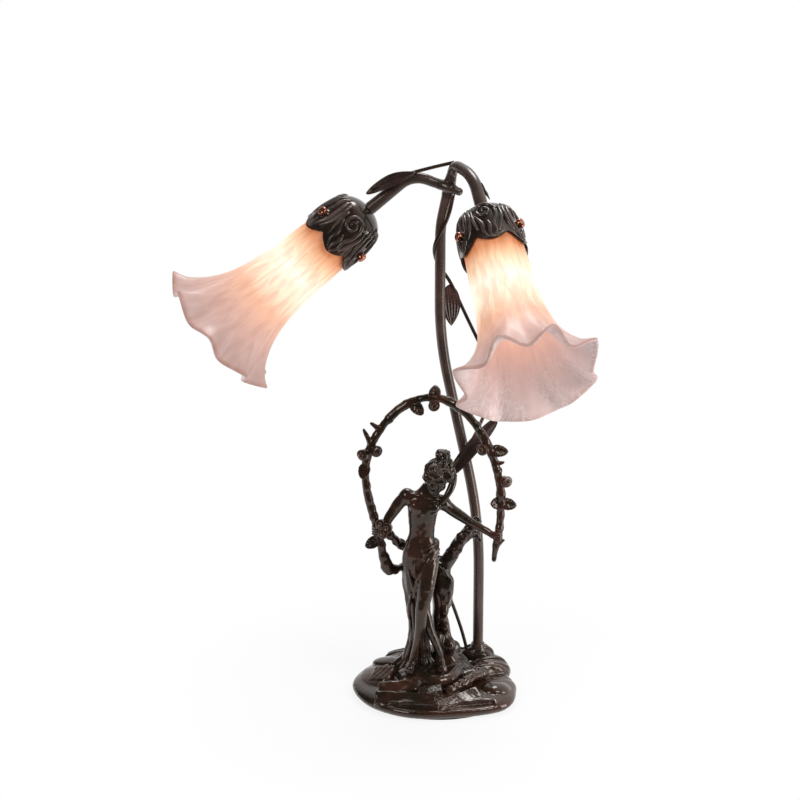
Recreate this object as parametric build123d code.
from build123d import *
import math
import os

# A two-light table lamp in the art nouveau manner. A maiden stands on a rock base in front of a
# tree trunk and holds a hoop of twigs; a slender stem behind her carries two arms, and each arm
# ends in a leafy holder with a lily-shaped glass shade.
# Millimetres. The origin is on the table under the middle of the base, +X is to the right of
# someone facing the lamp, +Y is away from them and +Z is up.

# Base
felt_thickness = 1.5
felt_margin = 4.0
base_half_width = 65.0
base_front = 62.0
base_back = 55.0
base_height = 15.5
base_wall = 5.0
cavity_height = 7.5
cover_thickness = 2.0
cover_clearance = 0.4
cover_screw_radius = 1.6
cover_screw_length = 6.0
cover_screw_head_radius = 3.2
cover_screw_head_height = 1.1
cover_boss_radius = 5.0
cover_boss_ring = 34.0
cover_screw_end_gap = 0.5
mound_rise = 6.0
mound_width = 62.0
mound_depth = 58.0
mound_spread = 8.5
mound_y = 2.0
inlet_height = 6.2
inlet_bore_radius = 2.7
inlet_bush_radius = 3.6
inlet_flange_radius = 4.4
inlet_flange_thickness = 2.0
inlet_bush_length = 9.0

# Stem, its foot and the crown where the arms meet it
stem_radius = 4.2
stem_wall = 1.2
stem_foot_x = 37.3
stem_y = 38.0
stem_lower_bend = 132.0
stem_upper_bend = 284.0
stem_lean_x = 4.6
stem_top_bend = 377.0
stem_boss_radius = 9.0
stem_boss_rise = 1.5
foot_collar_radius = 7.2
foot_collar_height = 4.5
foot_collar_lip = 1.2
stem_nut_width = 14.0
stem_nut_height = 3.5
stem_nut_margin = 1.0
crown_x = 11.0
crown_z = 408.0
crown_radius = 8.0
crown_socket = 5.7
fit_clearance = 0.1

# Arms
arm_root_radius = 3.9
arm_end_radius = 5.2
arm_bore_radius = 2.5
left_reach = (-61.0, -4.0, -15.6)
left_run = 42.0
right_reach = (24.4, -58.0, -2.6)
right_run = 32.0
right_rise = (4.0, -6.0, 20.0)
lead_clearance = 0.4
lead_end_gap = 0.5

# Lights: how each shade points, and the shade itself
left_azimuth = -175.5
right_azimuth = -75.0
shade_drop = 39.0
shade_start = 15.0
shade_length = 140.0
neck_radius = 19.5
neck_swell = 6.0
swell_pace = 0.15
flare = 27.0
flare_power = 4.8
petals = 6
left_petal_clock = 0.0
right_petal_clock = 15.0
ruffle = 4.6
lip_wave = 3.0
ruffle_power = 5.0
glass_thickness = 2.6

# Holders and thumbscrews
holder_wall = 2.2
holder_dome = 15.0
holder_length = 45.0
holder_notch = 8.0
holder_land = 8.6
shade_clearance = 0.5
screw_place = 28.0
screw_radius = 1.7
screw_gap = 0.25
screw_head_radius = 3.7
screw_head_height = 3.2
screw_head_round = 1.75
screw_in_head = 1.0
screw_boss_radius = 3.4
screw_boss_rise = 1.6
left_screw_clock = -25.0
right_screw_clock = -45.0

# Nipple, socket and bulb
nipple_radius = 3.6
nipple_bore_radius = 2.4
nipple_in_arm = 12.0
nipple_in_socket = 5.0
holder_nut_width = 13.0
holder_nut_height = 3.5
socket_radius = 11.0
socket_length = 31.0
socket_floor = 8.0
socket_round = 2.0
shell_thickness = 0.7
shell_clearance = 0.3
contact_radius = 2.4
contact_height = 1.6
cap_radius = 6.0
cap_length = 22.5
cap_wall = 0.8
cap_round = 2.0
cap_overlap = 6.75
bulb_radius = 8.75
bulb_length = 52.0
bulb_glass = 1.0

# Figure and trunk: heights are above the flat top of the mound
figure_bolt_radius = 2.0
figure_bolt_length = 24.0
figure_bolt_head_radius = 3.6
figure_bolt_head_height = 3.0
figure_bolt_end_gap = 0.5
figure_bolt_place = (-12.0, 3.0)
trunk_bolt_place = (9.0, 14.0)

# Hoop and vine
hoop_radius = 2.5
thorn_root_radius = 1.75
thorn_tip_radius = 0.5
rose_radius = 4.0
hoop_leaf_width = 8.0
wire_radius = 1.4
leaf_thickness = 1.8

base_bottom = felt_thickness
cavity_top = base_bottom + cavity_height
base_top = base_bottom + base_height
mound_top = base_top + mound_rise
crown = Vector(crown_x, stem_y, crown_z)
low_end = (Align.CENTER, Align.CENTER, Align.MIN)
high_end = (Align.CENTER, Align.CENTER, Align.MAX)

# The plan of the rock base, as shares of its half width and of its front and back reach
base_plan = [
    (1.00, -0.20), (0.93, 0.14), (0.98, 0.42), (0.88, 0.78), (0.60, 1.00), (0.04, 0.95),
    (-0.50, 0.76), (-0.86, 0.36), (-1.00, -0.15), (-0.74, -0.66), (-0.05, -1.00), (0.72, -0.78),
]
# The swelling of the rim: share of the base height, share of the plan
base_swell = [(0.0, 0.965), (0.26, 1.0), (0.52, 0.965), (0.8, 0.86), (1.0, 0.68)]


def spline_face(points):
    return Face(Wire([Edge.make_spline([Vector(*point) for point in points], periodic=True)]))


def plan_face(z, inset=0.0, share=1.0):
    """The base's plan at one height, drawn in by an inset and a share."""
    points = []
    for u, v in base_plan:
        reach = base_back if v > 0 else base_front
        points.append((u * share * (base_half_width - inset), v * share * (reach - inset), z))
    return spline_face(points)


def ellipse_loft(stations):
    """A smooth body through level ellipses: centre x, y, z and the two half widths."""
    faces = [Pos(x, y, z) * Ellipse(half_x, half_y) for x, y, z, half_x, half_y in stations]
    return loft(faces)


def limb(stations, across=(0, 1, 0)):
    """A tapering limb through circles: centre x, y, z and radius. Its last end is rounded."""
    faces = []
    for index, station in enumerate(stations):
        before = Vector(*stations[max(index - 1, 0)][:3])
        after = Vector(*stations[min(index + 1, len(stations) - 1)][:3])
        along = (after - before).normalized()
        side = Vector(*across) - along * Vector(*across).dot(along)
        faces.append(Plane(origin=station[:3], x_dir=side, z_dir=along) * Circle(station[3]))
    end = stations[-1]
    return loft(faces) + Pos(*end[:3]) * Sphere(end[3] * 1.03)


def bent_path(points, radii):
    return Wire(FilletPolyline(*points, radius=radii).edges())


def tube(path, radius):
    start = Plane(origin=path @ 0, z_dir=path % 0)
    return sweep(start * Circle(radius), path=path)


def bend_radii(points, share=0.45):
    """The largest radius that each corner's two runs leave room for."""
    radii = []
    for before, corner, after in zip(points, points[1:], points[2:]):
        into = Vector(*corner) - Vector(*before)
        out = Vector(*after) - Vector(*corner)
        turn = math.radians(into.get_angle(out))
        radii.append(share * min(into.length, out.length) / math.tan(turn / 2))
    return radii


def smooth_tube(points, radius):
    return tube(bent_path(points, bend_radii(points)), radius)


def leaf(root, tip, width, facing):
    """A pointed oval leaf from root to tip, its flat side turned to facing."""
    root = Vector(*root)
    along = Vector(*tip) - root
    length = along.length
    facing = Vector(*facing) - along.normalized() * Vector(*facing).dot(along.normalized())
    upper = ThreePointArc((0, 0), (length * 0.45, width / 2), (length, 0))
    lower = ThreePointArc((length, 0), (length * 0.45, -width / 2), (0, 0))
    blade = extrude(make_face([upper, lower]), amount=leaf_thickness / 2, both=True)
    return Plane(origin=root, x_dir=along, z_dir=facing) * blade


def hexagon(width, height):
    return extrude(RegularPolygon(width / math.sqrt(3), 6), amount=height)


# Base

def boulder(x, y, z, width, depth, height, turn):
    """A faceted rock: a six-sided foot that draws in to a smaller tilted top."""
    foot = Pos(x, y, z) * Rot(0, 0, turn) * scaled_hexagon(width, depth, 1.0)
    top = Pos(x, y, z + height) * Rot(4, -5, turn + 14) * scaled_hexagon(width, depth, 0.62)
    return loft([foot, top], ruled=True)


def scaled_hexagon(width, depth, share):
    corners = []
    for side in range(6):
        angle = math.radians(60 * side + 17)
        corners.append((share * width / 2 * math.cos(angle), share * depth / 2 * math.sin(angle)))
    return make_face(Polyline(*corners, close=True))


def cover_screw_places():
    return [Pos(cover_boss_ring * math.cos(a), cover_boss_ring * math.sin(a), 0)
            for a in (math.radians(90 + 120 * i + 75) for i in range(3))]


def make_base():
    rings = [plan_face(base_bottom + base_height * rise, share=share) for rise, share in base_swell]
    base = loft(rings)
    mound = ellipse_loft([
        (0, mound_y, cavity_top, mound_width / 2 + mound_spread, mound_depth / 2 + mound_spread),
        (0, mound_y, base_top, (mound_width + mound_spread) / 2, (mound_depth + mound_spread) / 2),
        (0, mound_y, mound_top, mound_width / 2, mound_depth / 2),
    ])
    base += mound
    for rock in (
        (-42, -8, 38, 30, 0.0, 20), (-28, 20, 32, 26, 0.5, -30), (24, -38, 48, 24, 0.5, 22),
        (46, -14, 26, 30, -0.5, 75), (-18, -42, 38, 22, 0.0, -18), (44, 24, 26, 32, 0.0, 40),
    ):
        x, y, width, depth, rise, turn = rock
        base += boulder(x, y, cavity_top, width, depth, base_top - cavity_top + rise, turn)
    boss_height = base_top + stem_boss_rise - cavity_top
    stem_boss = Cylinder(stem_boss_radius, boss_height, align=low_end)
    base += Pos(stem_foot_x, stem_y, cavity_top) * stem_boss
    base -= extrude(plan_face(base_bottom, inset=base_wall), amount=cavity_height)
    for place in cover_screw_places():
        boss = Cylinder(cover_boss_radius, cavity_height - cover_thickness, align=low_end)
        base += place * Pos(0, 0, base_bottom + cover_thickness) * boss
        hole = Cylinder(cover_screw_radius, cover_screw_length, align=low_end)
        base -= place * Pos(0, 0, base_bottom + cover_thickness) * hole
    stem_hole = Cylinder(stem_radius + fit_clearance, boss_height, align=low_end)
    base -= Pos(stem_foot_x, stem_y, cavity_top) * stem_hole
    for x, y in (figure_bolt_place, trunk_bolt_place):
        bolt_hole = Cylinder(figure_bolt_radius + fit_clearance, mound_top - cavity_top, align=low_end)
        base -= Pos(x, y, cavity_top) * bolt_hole
    base -= inlet_axis() * Cylinder(inlet_bush_radius + fit_clearance, 3 * inlet_bush_length)
    return base


def inlet_axis():
    """Where the supply cord comes in, through the middle of the back wall."""
    return Pos(0, base_back - base_wall / 2, base_bottom + inlet_height) * Rot(-90, 0, 0)


def make_inlet_bush(base):
    bush = Cylinder(inlet_bush_radius, inlet_bush_length)
    bush += Pos(0, 0, inlet_bush_length / 2) * Cylinder(inlet_flange_radius, inlet_flange_thickness)
    bush -= Cylinder(inlet_bore_radius, 2 * inlet_bush_length)
    return inlet_axis() * bush - base


def make_cover():
    cover = extrude(plan_face(base_bottom, inset=base_wall + cover_clearance), amount=cover_thickness)
    for place in cover_screw_places():
        cover -= place * Pos(0, 0, base_bottom) * Cylinder(
            cover_screw_radius + fit_clearance, cover_thickness, align=low_end)
        cover -= place * Pos(0, 0, base_bottom) * Cylinder(
            cover_screw_head_radius + fit_clearance, cover_screw_head_height, align=low_end)
    return cover


def make_cover_screws():
    reach = cover_screw_length + cover_thickness - cover_screw_end_gap
    shank = Cylinder(cover_screw_radius, reach, align=low_end)
    screw = shank + Cylinder(cover_screw_head_radius, cover_screw_head_height, align=low_end)
    return [place * Pos(0, 0, base_bottom) * screw for place in cover_screw_places()]


def make_felt():
    return extrude(plan_face(0, inset=felt_margin), amount=felt_thickness)


# Stem and crown

def stem_points():
    foot = cavity_top - stem_nut_height - stem_nut_margin
    return [
        (stem_foot_x, stem_y, foot), (stem_foot_x, stem_y, stem_lower_bend),
        (stem_lean_x, stem_y, stem_upper_bend), (stem_lean_x, stem_y, stem_top_bend), crown,
    ]


def stem_path(stop_short):
    points = stem_points()
    last = crown - (crown - Vector(*points[-2])).normalized() * stop_short
    points[-1] = last
    return bent_path(points, bend_radii(points, 0.35))


def make_stem():
    path = stem_path(crown_socket)
    return tube(path, stem_radius) - tube(path, stem_radius - stem_wall)


def make_foot_collar():
    ring = Cone(foot_collar_radius, stem_radius + foot_collar_lip, foot_collar_height, align=low_end)
    ring -= Cylinder(stem_radius + fit_clearance, 2 * foot_collar_height)
    return Pos(stem_foot_x, stem_y, base_top + stem_boss_rise) * ring


def make_stem_nut():
    nut = hexagon(stem_nut_width, stem_nut_height)
    nut -= Cylinder(stem_radius + fit_clearance, 3 * stem_nut_height)
    return Pos(stem_foot_x, stem_y, cavity_top - stem_nut_height) * nut


def make_crown(neighbours):
    body = Pos(*crown) * Sphere(crown_radius)
    for neighbour in neighbours:
        body -= neighbour
    return body


# Arms

def light_plane(reach, azimuth):
    """The frame of one light: its origin at the end of the arm, its z axis along the shade."""
    turn = math.radians(azimuth)
    drop = math.radians(shade_drop)
    along = Vector(math.cos(turn) * math.cos(drop), math.sin(turn) * math.cos(drop), -math.sin(drop))
    up = Vector(0, 0, 1) - along * along.Z
    return Plane(origin=crown + Vector(*reach), x_dir=up, z_dir=along)


left_light = light_plane(left_reach, left_azimuth)
right_light = light_plane(right_reach, right_azimuth)


def arm_path(side, start_short):
    if side == "left":
        corners = [left_light.origin - left_light.z_dir * left_run]
        light = left_light
    else:
        corners = [crown + Vector(*right_rise), right_light.origin - right_light.z_dir * right_run]
        light = right_light
    start = crown + (corners[0] - crown).normalized() * start_short
    points = [start, *corners, light.origin]
    return bent_path(points, bend_radii(points, 0.48))


def arm_body(side):
    path = arm_path(side, crown_socket)
    faces = []
    steps = 14
    light = left_light if side == "left" else right_light
    for step in range(steps + 1):
        share = step / steps
        along = path % share
        across = light.y_dir - along * light.y_dir.dot(along)
        radius = arm_root_radius + (arm_end_radius - arm_root_radius) * share
        faces.append(Plane(origin=path @ share, x_dir=across, z_dir=along) * Circle(radius))
    return loft(faces)


def make_arm(side):
    light = left_light if side == "left" else right_light
    arm = arm_body(side) - tube(arm_path(side, crown_socket), arm_bore_radius)
    seat = Pos(0, 0, -nipple_in_arm / 2) * Cylinder(nipple_radius + fit_clearance, nipple_in_arm)
    return arm - light * seat


# Shade, holder and thumbscrews, each in the frame of its light

def lily_radius(share):
    """Outer radius of the shade at a share of its length, before the ruffle."""
    return neck_radius + neck_swell * share / (share + swell_pace) + flare * share ** flare_power


def lily_ring(share, inset):
    """The closed curve round the shade at one share of its length."""
    count = 8 * petals
    ripple = share ** ruffle_power
    points = []
    for step in range(count):
        angle = 2 * math.pi * step / count
        wave = math.cos(petals * angle)
        radius = lily_radius(share) + ruffle * ripple * wave - inset
        height = shade_start + shade_length * share + lip_wave * ripple * wave
        points.append(Vector(radius * math.cos(angle), radius * math.sin(angle), height))
    return Edge.make_spline(points, periodic=True)


def make_shade():
    shares = [0.0, 0.06, 0.15, 0.3, 0.5, 0.65, 0.78, 0.88, 0.95, 1.0]
    outer = [lily_ring(share, 0.0) for share in shares]
    inner = [lily_ring(share, glass_thickness) for share in shares]
    faces = list(Shell.make_loft([Wire([ring]) for ring in outer]).faces())
    faces += list(Shell.make_loft([Wire([ring]) for ring in inner]).faces())
    faces.append(Face.make_surface_from_curves(outer[-1], inner[-1]))
    faces.append(Face(Wire([outer[0]]), [Wire([inner[0]])]))
    return Solid(Shell(faces))


def holder_radius(place):
    """Inner radius of the holder at a distance along the light: it follows the shade's neck."""
    share = max(place - shade_start, 0.0) / shade_length
    return lily_radius(share) + shade_clearance


def dome_points(radius, bottom, top):
    """A quarter of an ellipse from the axis out to the holder's side."""
    points = []
    for step in range(5):
        angle = math.radians(22.5 * step)
        points.append((radius * math.sin(angle), 0, top - (top - bottom) * math.cos(angle)))
    return points


def make_holder(clock):
    places = [holder_dome + (holder_length - holder_dome) * share for share in (0.3, 0.65, 1.0)]
    outside = dome_points(holder_radius(holder_dome) + holder_wall, 0.0, holder_dome)
    outside += [(holder_radius(place) + holder_wall, 0, place) for place in places]
    inside = dome_points(holder_radius(holder_dome), holder_wall, holder_dome)
    inside += [(holder_radius(place), 0, place) for place in places]
    edges = [
        Edge.make_spline([Vector(*point) for point in outside]),
        Edge.make_line(outside[-1], inside[-1]),
        Edge.make_spline([Vector(*point) for point in reversed(inside)]),
        Edge.make_line(inside[0], outside[0]),
    ]
    holder = revolve(Face(Wire(edges)), Axis.Z)
    for turn in screw_turns(clock):
        holder += turn * screw_boss()
    rim = holder_radius(holder_length) + holder_wall
    half_gap = rim * math.tan(math.pi / petals)
    notch = make_face(Polyline((-half_gap, 1), (half_gap, 1), (0, -holder_notch), close=True))
    cutter = extrude(Plane(origin=(0, 0, holder_length), x_dir=(0, 1, 0), z_dir=(1, 0, 0)) * notch,
                     amount=2 * rim)
    for step in range(petals):
        holder -= Rot(0, 0, clock + 360 / petals * (step + 0.5)) * cutter
    holder -= Cylinder(nipple_radius + fit_clearance, 4 * holder_wall)
    holder -= Pos(0, 0, holder_wall) * Cylinder(holder_land, holder_nut_height, align=low_end)
    bore = screw_axis(0) * Cylinder(screw_radius + fit_clearance, 2 * boss_face(), align=low_end)
    for turn in screw_turns(clock):
        holder -= turn * bore
    return holder


def screw_turns(clock):
    return [Rot(0, 0, clock + 120 * step) for step in range(3)]


def screw_axis(distance):
    """A frame on the thumbscrew's line, its z axis pointing outwards from the shade."""
    return Plane(origin=(distance, 0, screw_place), x_dir=(0, 1, 0), z_dir=(1, 0, 0))


def boss_face():
    return holder_radius(screw_place) + holder_wall + screw_boss_rise


def screw_boss():
    root = holder_radius(screw_place) + holder_wall / 2
    return screw_axis(root) * Cylinder(screw_boss_radius, boss_face() - root, align=low_end)


def make_thumbscrew(turn):
    tip = lily_radius((screw_place - shade_start) / shade_length) + screw_gap
    shank = screw_axis(tip) * Cylinder(screw_radius, boss_face() - tip + screw_in_head, align=low_end)
    head = Cylinder(screw_head_radius, screw_head_height, align=low_end)
    head = fillet(head.edges().sort_by(Axis.Z)[-1], screw_head_round)
    return turn * (shank + screw_axis(boss_face() + fit_clearance) * head)


# Nipple, socket and bulb, each in the frame of its light

nut_end = holder_wall + holder_nut_height
socket_start = nut_end + fit_clearance
socket_end = socket_start + socket_length
cap_start = socket_start + socket_floor + contact_height + fit_clearance
cap_end = cap_start + cap_length


def make_nipple():
    length = nipple_in_arm + nut_end + nipple_in_socket
    ring = Circle(nipple_radius) - Circle(nipple_bore_radius)
    return Pos(0, 0, -nipple_in_arm) * extrude(ring, amount=length)


def make_holder_nut():
    nut = hexagon(holder_nut_width, holder_nut_height)
    return Pos(0, 0, holder_wall) * (nut - Cylinder(nipple_radius + fit_clearance, 3 * holder_nut_height))


def make_socket_body():
    body = Pos(0, 0, socket_start) * Cylinder(socket_radius, socket_length, align=low_end)
    body = fillet(body.edges().sort_by(Axis.Z)[0], socket_round)
    well = cap_radius + shell_clearance + shell_thickness + fit_clearance
    body -= Pos(0, 0, socket_start + socket_floor) * Cylinder(well, socket_length, align=low_end)
    seat = Cylinder(nipple_radius + fit_clearance, nipple_in_socket + 2 * fit_clearance, align=low_end)
    return body - Pos(0, 0, socket_start) * seat


def make_socket_shell():
    inner = cap_radius + shell_clearance
    ring = Circle(inner + shell_thickness) - Circle(inner)
    return Pos(0, 0, socket_start + socket_floor) * extrude(ring, amount=socket_length - socket_floor)


def make_contact():
    contact = Cylinder(contact_radius, contact_height, align=low_end)
    return Pos(0, 0, socket_start + socket_floor) * contact


def make_cap():
    cap = Pos(0, 0, cap_start) * Cylinder(cap_radius, cap_length, align=low_end)
    cap = fillet(cap.edges().sort_by(Axis.Z)[0], cap_round)
    hollow = Cylinder(cap_radius - cap_wall, cap_length - cap_wall, align=low_end)
    return cap - Pos(0, 0, cap_start + cap_wall) * hollow


def bulb_profile(inset):
    """Half of the flame-shaped envelope, from its open neck to the tip on the axis."""
    neck = cap_radius - cap_wall - fit_clearance - inset
    wide = bulb_radius - inset
    tip = cap_end + bulb_length - inset
    return [
        (neck, 0, cap_end - cap_overlap), (neck, 0, cap_end),
        (wide * 0.86, 0, cap_end + bulb_length * 0.2), (wide, 0, cap_end + bulb_length * 0.38),
        (wide * 0.76, 0, cap_end + bulb_length * 0.68), (wide * 0.3, 0, cap_end + bulb_length * 0.93),
        (0, 0, tip),
    ]


def make_bulb():
    outside = [Vector(*point) for point in bulb_profile(0.0)]
    inside = [Vector(*point) for point in bulb_profile(bulb_glass)]
    edges = [
        Edge.make_line(outside[0], outside[1]),
        Edge.make_spline(outside[1:]),
        Edge.make_line(outside[-1], inside[-1]),
        Edge.make_spline(list(reversed(inside[1:]))),
        Edge.make_line(inside[1], inside[0]),
        Edge.make_line(inside[0], outside[0]),
    ]
    return revolve(Face(Wire(edges)), Axis.Z)


# Figure, trunk and hoop: heights count from the top of the mound

def lift(points):
    return [(x, y, z + mound_top, *rest) for x, y, z, *rest in points]


def keep_above_mound(shape):
    ground = Box(4 * base_half_width, 4 * base_half_width, 2 * mound_top, align=high_end)
    return shape - Pos(0, 0, mound_top) * ground


def figure_bolt_holes():
    bores = []
    for x, y in (figure_bolt_place, trunk_bolt_place):
        depth = figure_bolt_length + cavity_top - mound_top
        bore = Cylinder(figure_bolt_radius + fit_clearance, depth + figure_bolt_end_gap, align=low_end)
        bores.append(Pos(x, y, mound_top) * bore)
    return bores


def make_figure():
    torso = ellipse_loft(lift([
        (-10, -2.5, 82, 14.0, 10.8), (-9.8, -3, 97, 14.6, 10.6), (-9.8, -3.5, 106, 12, 9.2),
        (-9.6, -4, 114, 10.5, 7.9), (-9.2, -4.5, 124, 11.2, 8.5), (-8.4, -5, 134, 12.8, 9.4),
        (-8, -5, 141, 14, 8.8), (-7.5, -4.5, 147, 12.5, 7.2), (-5.5, -5, 152, 7, 5.8),
        (-3.5, -6, 158, 4.8, 4.8),
    ]))
    drape = ellipse_loft(lift([
        (-15, 3, -1, 17.5, 13), (-14.5, 3, 5, 13.5, 12), (-13.5, 2.5, 16, 10.6, 10.4),
        (-13.2, 2.2, 36, 10.2, 10), (-13, 1.2, 58, 11.4, 10.6), (-12, -0.5, 76, 13.2, 11.4),
        (-11, -2, 90, 14.8, 11.6),
    ]))
    front_leg = limb(lift([
        (-3.5, -7, 93, 8.0), (-5, -11.5, 82, 7.0), (-6.5, -15.5, 67, 6.5), (-9.4, -17.6, 53, 4.9),
        (-10.2, -17, 39, 4.0), (-14.2, -15.4, 20, 3.0), (-17, -14, 6, 3.0),
    ]))
    rear_leg = limb(lift([
        (-7.5, -7, 50, 5.2), (-5, -9, 40, 4.5), (-2, -10.5, 31, 3.8), (1.5, -11.5, 23, 3.3),
        (4.8, -12, 14, 2.9), (6.2, -12, 6, 3.0),
    ]))
    front_foot = limb(lift([
        (-17, -12, 3.8, 3.2), (-18.5, -19, 3.2, 3.1), (-20.5, -24.5, 2.0, 2.2),
    ]), (1, 0, 0))
    rear_foot = limb(lift([
        (6.2, -10, 3.8, 3.2), (7, -17, 3.2, 3.1), (7.6, -22.5, 2.0, 2.2),
    ]), (1, 0, 0))
    head = Pos(2.5, -9, mound_top + 160) * Sphere(8.8)
    hair = Pos(3.5, -5.5, mound_top + 169.5) * Sphere(12)
    bun = Pos(6.5, -4.5, mound_top + 181.5) * Sphere(4.8)
    lock = limb(lift([
        (14, -5.5, 169, 3.8), (15, -6.5, 161, 3.6), (12.5, -8, 154, 3.0), (9, -9, 148, 2.4),
    ]))
    figure = torso + drape + front_leg + rear_leg + front_foot + rear_foot + head + hair + bun + lock
    figure = keep_above_mound(figure)
    for bore in figure_bolt_holes():
        figure -= bore
    return figure


def make_right_arm():
    return limb(lift([
        (-20, -4.5, 146, 5.6), (-26.5, -2.8, 140, 5.1), (-31, -1.5, 133.2, 4.7), (-35.2, -0.8, 126, 4.2),
        (-39, -1, 117.5, 4.2),
    ]))


def make_left_arm():
    return limb(lift([
        (6, -5, 141, 5.4), (15, -3.6, 132.8, 4.4), (24, -2.4, 125.4, 3.8), (33, -1.4, 119.6, 3.3),
        (41, -0.8, 115.4, 2.8), (47, -0.4, 112.4, 3.2),
    ]))


def make_trunk():
    trunk = ellipse_loft(lift([
        (9, 13, -1, 15, 13), (9.5, 13, 8, 11.5, 11), (8, 13, 34, 9.5, 9.5), (9.5, 13, 56, 11, 10),
        (9.5, 12, 68, 10.5, 10), (8.5, 12, 80, 8.5, 8.5), (9, 12, 88, 6, 6),
    ]))
    trunk += limb(lift([
        (10, 12, 78, 6.0), (16, 11, 92, 5.2), (24, 9, 106, 4.7), (31, 6.5, 117, 4.2),
        (34.5, 5, 123, 3.7),
    ]))
    trunk += limb(lift([
        (8, 13, 82, 5.5), (-8, 13.5, 88, 4.8), (-24, 9.5, 98, 4.0), (-33, 6, 107, 3.2),
        (-37, 4.5, 112, 2.6),
    ]))
    trunk = keep_above_mound(trunk)
    for bore in figure_bolt_holes():
        trunk -= bore
    return trunk


def make_figure_bolts():
    shank = Cylinder(figure_bolt_radius, figure_bolt_length, align=low_end)
    head = Cylinder(figure_bolt_head_radius, figure_bolt_head_height, align=high_end)
    return [Pos(x, y, cavity_top) * (shank + head) for x, y in (figure_bolt_place, trunk_bolt_place)]


hoop_points = lift([
    (6, 15, 80), (-18, 14.5, 81), (-36.5, 2, 77), (-46, 0, 120), (-56.5, 0, 162), (-49, 0, 191),
    (-30, 0, 217), (-4, 0, 229), (22, 0, 219), (43, 0, 188), (52, 0, 158), (54, 0, 130), (48, 0, 90),
])
hoop_path = bent_path(hoop_points, bend_radii(hoop_points))

# What grows on the hoop: a share of the way along it, then an offset from there
hoop_thorns = [
    (0.404, (-6, -1, 13)), (0.443, (-6.5, -1, 6)), (0.786, (6.5, -1, 3)), (0.965, (5.5, -1, 3.5)),
]
hoop_roses = [
    (0.386, (-4.6, -2.5, -0.5)), (0.398, (4.4, -3, -1)), (0.590, (-1, -3.5, -5)),
    (0.740, (-4.0, -3, -2.6)), (0.824, (5.2, -2.5, 1.1)), (0.208, (3.0, -5, 2.0)),
]
hoop_leaves = [
    (0.545, (-4, -4, -10)), (0.583, (4, -3, 13)), (0.757, (15, -4, 2)), (0.350, (-7, -3, -11)),
    (0.872, (-8, -4, 8)), (0.878, (12, -4, 6)), (0.190, (-12, -4, -5)),
]
rose_seat = 0.6


def make_hoop():
    hoop = tube(hoop_path, hoop_radius)
    for share, out in hoop_thorns:
        root = Plane(origin=hoop_path @ share, z_dir=out)
        hoop += root * Cone(thorn_root_radius, thorn_tip_radius, Vector(*out).length, align=low_end)
    return hoop


def make_roses():
    return [Pos(*(hoop_path @ share + Vector(*out))) * Sphere(rose_radius) for share, out in hoop_roses]


def make_hoop_leaves():
    blades = []
    for share, out in hoop_leaves:
        root = hoop_path @ share + Vector(*out).normalized() * hoop_radius * rose_seat
        blades.append(leaf(root, hoop_path @ share + Vector(*out), hoop_leaf_width, (0, -1, 0.3)))
    return blades


# Vine

def make_stem_wire():
    gap = stem_radius + wire_radius
    points = [
        crown + Vector(4, -4, -2),
        crown + Vector(0, -gap - 1.5, -22),
        (stem_lean_x - gap, stem_y - 3, crown_z - 46),
        (stem_lean_x - 3, stem_y + gap + 0.5, crown_z - 62),
        (stem_lean_x + gap + 2, stem_y + 5, crown_z - 76),
        crown + Vector(15, 10, -108),
        crown + Vector(33, 10, -146),
        crown + Vector(34, 2, -176),
        (30, stem_y - gap - 1, mound_top + 176),
        (8, 28, mound_top + 149),
        (-7, 27, mound_top + 117),
        (-2, 28, mound_top + 82),
        (14, 28, mound_top + 45),
        (24, 33, mound_top + 13),
        (29, 34, base_top - 2),
    ]
    return smooth_tube(points, wire_radius)


def make_crown_wire():
    points = [crown + Vector(*offset) for offset in (
        (-60, -7, 0), (-44, -6, 8), (-26, -3.5, 13.5), (-8, -1, 17.5), (4, 0, 20),
    )]
    return smooth_tube(points, wire_radius)


# Vine leaves: root, tip, width and the way that the flat side faces
crown_leaves = [
    ((-41, -7, 9), (-64, -8, -3), 11, (-0.4, -0.3, 0.9)),
    ((4, 5.5, -77), (6, 6, -112), 16, (0.2, -1, 0)),
    ((19, -34, 15), (30, -48, 3), 9, (0.8, 0.2, 0.5)),
]
long_leaf = ((15, 31, 153), (50, 29, 198), 15, (-0.3, -1, 0.2))


def make_vine_leaves():
    blades = []
    for root, tip, width, facing in crown_leaves:
        blades.append(leaf(crown + Vector(*root), crown + Vector(*tip), width, facing))
    root, tip, width, facing = long_leaf
    rise = Vector(0, 0, mound_top)
    blades.append(leaf(rise + Vector(*root), rise + Vector(*tip), width, facing))
    return blades


def less(shape, *tools):
    """The shape with its neighbours' space taken out of it."""
    for tool in tools:
        shape -= tool
    return shape


def write(name, shape):
    solids = shape if isinstance(shape, list) else [shape]
    flat = []
    for solid in solids:
        flat += list(solid.solids())
    piece = flat[0] if len(flat) == 1 else Compound(children=flat)
    export_step(piece, os.path.join("parts", name + ".step"))


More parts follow.
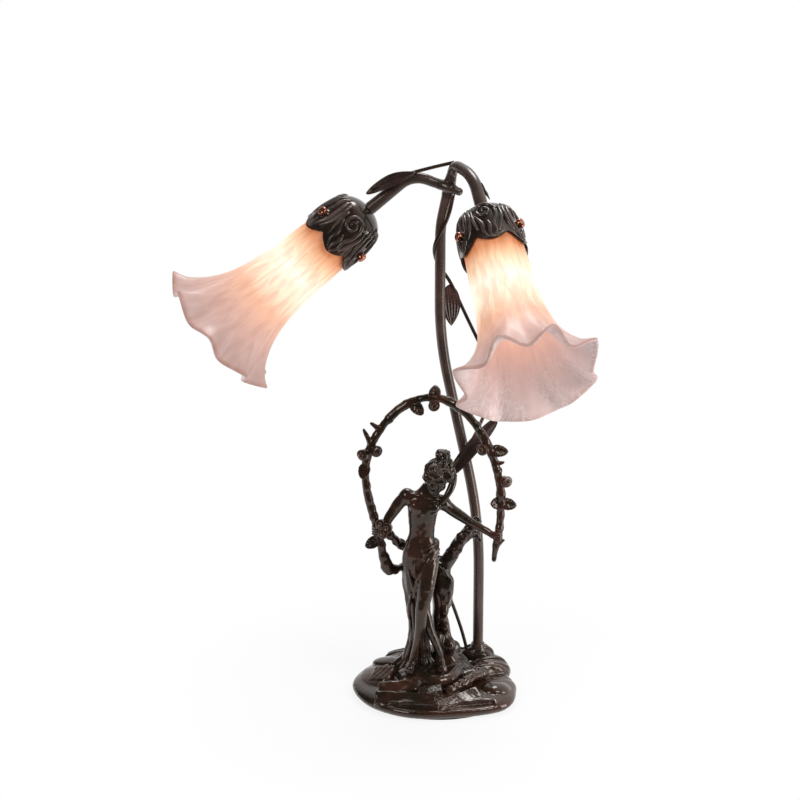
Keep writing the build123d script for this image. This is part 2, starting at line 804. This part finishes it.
def main():
    os.makedirs("parts", exist_ok=True)

    base = make_base()
    write("base_casting", base)
    write("base_cover_plate", make_cover())
    write("cover_screws", make_cover_screws())
    write("base_felt", make_felt())
    write("cord_inlet_bush", make_inlet_bush(base))

    stem = make_stem()
    stem_full = tube(stem_path(crown_socket), stem_radius)
    write("stem_tube", stem)
    write("stem_foot_collar", make_foot_collar())
    write("stem_lock_nut", make_stem_nut())
    write("stem_lead", tube(stem_path(lead_end_gap), stem_radius - stem_wall - lead_clearance))

    arms = {side: arm_body(side) for side in ("left", "right")}
    lead_bores = [Pos(*crown) * Sphere(stem_radius - stem_wall + lead_clearance / 2)]
    lead_bores.append(tube(stem_path(0.0), stem_radius - stem_wall))
    for side in ("left", "right"):
        lead_bores.append(tube(arm_path(side, lead_end_gap), arm_bore_radius))
    crown_body = make_crown([stem_full, *arms.values(), *lead_bores])
    write("crown_knuckle", crown_body)

    shade = make_shade()
    for side, light, clock, petal_clock in (
        ("left", left_light, left_screw_clock, left_petal_clock),
        ("right", right_light, right_screw_clock, right_petal_clock),
    ):
        write(side + "_arm", make_arm(side))
        write(side + "_lead", tube(arm_path(side, crown_socket), arm_bore_radius - lead_clearance))
        write(side + "_nipple", light * make_nipple())
        write(side + "_holder", light * make_holder(clock))
        write(side + "_holder_nut", light * make_holder_nut())
        write(side + "_socket_body", light * make_socket_body())
        write(side + "_socket_shell", light * make_socket_shell())
        write(side + "_socket_contact", light * make_contact())
        write(side + "_bulb_cap", light * make_cap())
        write(side + "_bulb", light * make_bulb())
        write(side + "_shade", light * Rot(0, 0, petal_clock) * shade)
        for number, turn in enumerate(screw_turns(clock), start=1):
            write(f"{side}_thumbscrew_{number}", light * make_thumbscrew(turn))

    figure = make_figure()
    hoop = make_hoop()
    left_arm = less(make_left_arm(), figure, hoop)
    right_arm = less(make_right_arm(), figure, hoop)
    trunk = less(make_trunk(), figure, hoop)
    write("figure_body", figure)
    write("figure_left_arm", less(left_arm, trunk))
    write("figure_right_arm", less(right_arm, trunk))
    write("tree_trunk", trunk)
    write("figure_bolts", make_figure_bolts())
    write("wreath_hoop", hoop)
    roses = [less(rose, hoop, right_arm) for rose in make_roses()]
    write("wreath_roses", roses)
    around = (hoop, *roses, right_arm, left_arm)
    write("wreath_leaves", [less(blade, *around) for blade in make_hoop_leaves()])

    stem_wire = less(make_stem_wire(), crown_body, stem_full, base, arms["left"], arms["right"])
    crown_wire = less(make_crown_wire(), crown_body, arms["left"], arms["right"])
    write("vine_stem_wire", stem_wire)
    write("vine_crown_wire", crown_wire)
    around = (stem_wire, crown_wire, stem_full, arms["left"], arms["right"])
    write("vine_leaves", [less(blade, *around) for blade in make_vine_leaves()])


main()
